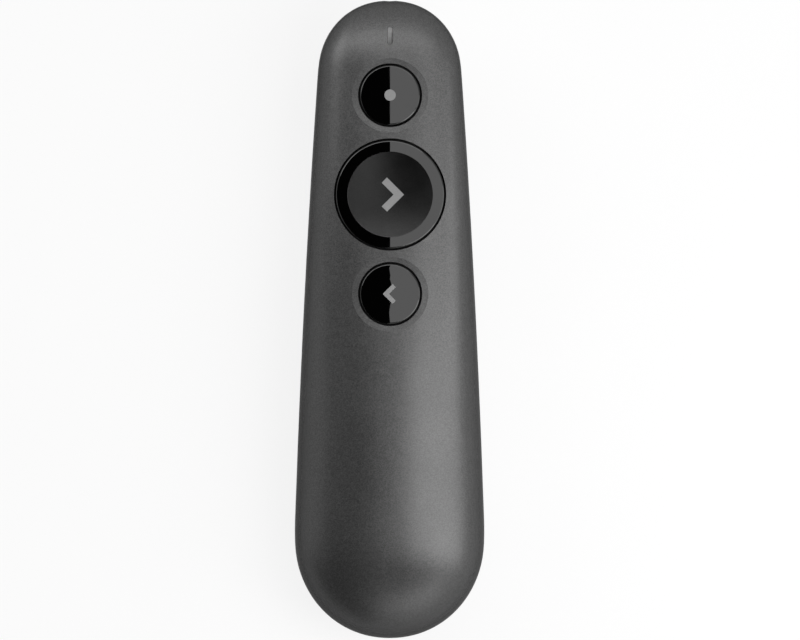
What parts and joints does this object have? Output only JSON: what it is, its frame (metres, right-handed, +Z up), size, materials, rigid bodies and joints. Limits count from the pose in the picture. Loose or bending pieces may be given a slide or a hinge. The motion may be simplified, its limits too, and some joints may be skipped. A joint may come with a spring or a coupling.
{
  "type": "wireless presentation clicker",
  "caption": "Handheld wireless presentation clicker with a dished round button between small round ones, a laser tip, a sliding battery door and a docked receiver.",
  "frame": {"origin": "centre of the flat belly's footprint box, on the surface that the clicker lies on", "axes": "+X to the right of the buttons, +Y towards the laser tip, +Z up out of the button face"},
  "size_m": [0.0414, 0.1388, 0.0286],
  "materials": {
    "satin_shell": "satin painted with a fine metallic flake",
    "gloss_cap": "polished black",
    "icon_print": "light grey inlay",
    "pipe_clear": "frosted clear",
    "tray_plastic": "moulded black",
    "cell_wrap": "printed sleeve over a steel can",
    "contact_nickel": "nickel plated",
    "spring_steel": "drawn wire",
    "screw_steel": "dark zinc",
    "board_laminate": "green solder mask",
    "chip_epoxy": "moulded epoxy",
    "crystal_steel": "tinned can",
    "capacitor_ceramic": "fired ceramic with tinned ends",
    "led_body": "clear over a white cup",
    "switch_plastic": "moulded black",
    "stem_plastic": "moulded ivory",
    "barrel_brass": "turned",
    "lens_glass": "polished",
    "window_glass": "dark red tint",
    "diode_metal": "gold plated",
    "lead_sleeve": "red insulation",
    "receiver_plastic": "fine spark texture",
    "plug_steel": "folded nickel-plated sheet",
    "contact_gold": "gold plated"
  },
  "bodies": {
    "case": {"front_shell": "satin_shell", "rear_shell": "satin_shell", "light_pipe": "pipe_clear", "battery_tray": "tray_plastic", "laser_holder": "tray_plastic", "battery_left": "cell_wrap", "battery_right": "cell_wrap", "plate_contact": "contact_nickel", "spring_contact": "contact_nickel", "bridge_contact": "contact_nickel", "battery_spring_left": "spring_steel", "battery_spring_right": "spring_steel", "case_screws": "screw_steel", "board_screws": "screw_steel", "main_board": "board_laminate", "laser_driver_board": "board_laminate", "radio_chip": "chip_epoxy", "crystal_can": "crystal_steel", "board_capacitors": "capacitor_ceramic", "status_led": "led_body", "laser_switch_body": "switch_plastic", "next_switch_body": "switch_plastic", "back_switch_body": "switch_plastic", "laser_barrel": "barrel_brass", "laser_lens": "lens_glass", "laser_window": "window_glass", "laser_diode": "diode_metal", "laser_leads": "lead_sleeve"},
    "laser_button": {"laser_button_cap": "gloss_cap", "laser_button_icon": "icon_print", "laser_switch_stem": "stem_plastic"},
    "next_button": {"next_button_cap": "gloss_cap", "next_button_icon": "icon_print", "next_switch_stem": "stem_plastic"},
    "back_button": {"back_button_cap": "gloss_cap", "back_button_icon": "icon_print", "back_switch_stem": "stem_plastic"},
    "battery_door": {"battery_door": "satin_shell"},
    "usb_receiver": {"receiver_head": "receiver_plastic", "receiver_plug_shell": "plug_steel", "receiver_tongue": "receiver_plastic", "receiver_contacts": "contact_gold"}
  },
  "joints": [
    {"name": "laser_press", "type": "slide", "parent": "case", "child": "laser_button", "axis": [0, 0, -1], "range_m": [0, 0.0005], "stiffness_N_per_m": 1500, "springref_m": -0.0005},
    {"name": "next_press", "type": "slide", "parent": "case", "child": "next_button", "axis": [0, 0, -1], "range_m": [0, 0.0005], "stiffness_N_per_m": 1500, "springref_m": -0.0005},
    {"name": "back_press", "type": "slide", "parent": "case", "child": "back_button", "axis": [0, 0, -1], "range_m": [0, 0.0005], "stiffness_N_per_m": 1500, "springref_m": -0.0005},
    {"name": "door_slide", "type": "slide", "parent": "case", "child": "battery_door", "axis": [0, -1, 0], "range_m": [0, 0.06]},
    {"name": "receiver_slide", "type": "slide", "parent": "case", "child": "usb_receiver", "axis": [0, -1, 0], "range_m": [0, 0.013]}
  ]
}
